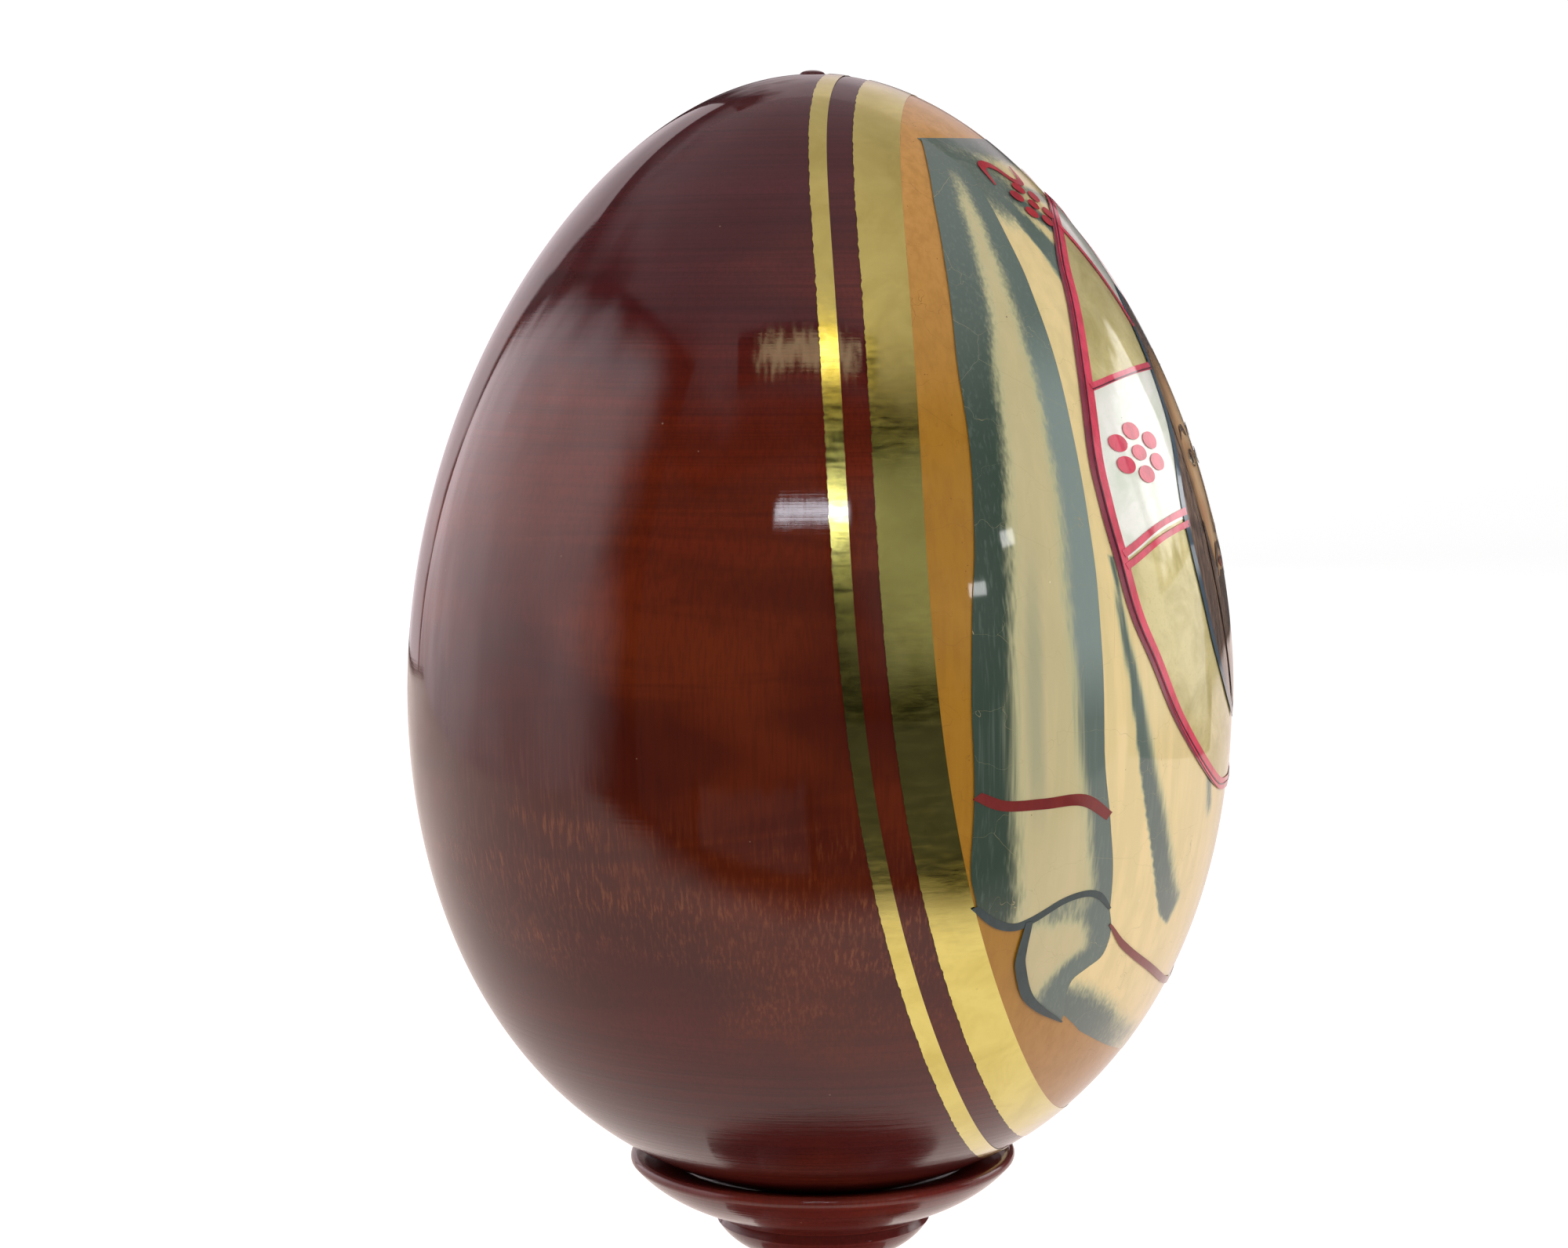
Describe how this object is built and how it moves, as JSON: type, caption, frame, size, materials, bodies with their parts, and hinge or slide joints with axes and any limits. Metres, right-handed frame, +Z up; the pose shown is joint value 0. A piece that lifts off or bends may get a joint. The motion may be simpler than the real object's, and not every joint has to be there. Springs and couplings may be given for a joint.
{
  "type": "decorated easter egg on stand",
  "caption": "Large turned wooden Easter egg with gold foil bands and a leafed halo, on a turned wooden baluster stand.",
  "frame": {"origin": "centre of the underside of the foot", "axes": "+Z up along the turning axis of the stand and the egg; the painted panel faces -Y; +X is the viewer's right when facing the panel"},
  "size_m": [0.1066, 0.107, 0.2007],
  "materials": {
    "stained_wood": "mahogany stain under gloss lacquer",
    "panel_paint": "ochre and earth colours painted on the wood, under gloss lacquer",
    "gold_foil": "thin gold foil under lacquer, lightly scratched",
    "gold_leaf": "pale gold leaf under lacquer",
    "silver_leaf": "silver leaf with broken flecks",
    "bare_wood": "plain birch dowel"
  },
  "bodies": {
    "stand": {"stand_foot": "stained_wood", "stand_stem": "stained_wood", "stand_cup": "stained_wood"},
    "peg": {"locating_peg": "bare_wood"},
    "egg": {"egg_body": "stained_wood", "foil_band_thin": "gold_foil", "foil_band_wide": "gold_foil", "halo_leaf": "gold_leaf", "silver_arm_left": "silver_leaf", "silver_arm_right": "silver_leaf", "silver_arm_top": "silver_leaf"}
  },
  "joints": [
    {"name": "egg_lift", "type": "slide", "parent": "stand", "child": "peg", "axis": [0, 0, 1], "range_m": [0, 0.04]},
    {"name": "egg_turn", "type": "hinge", "parent": "peg", "child": "egg", "pos_m": [0, 0, 0.0612], "axis": [0, 0, 1], "continuous": true}
  ]
}
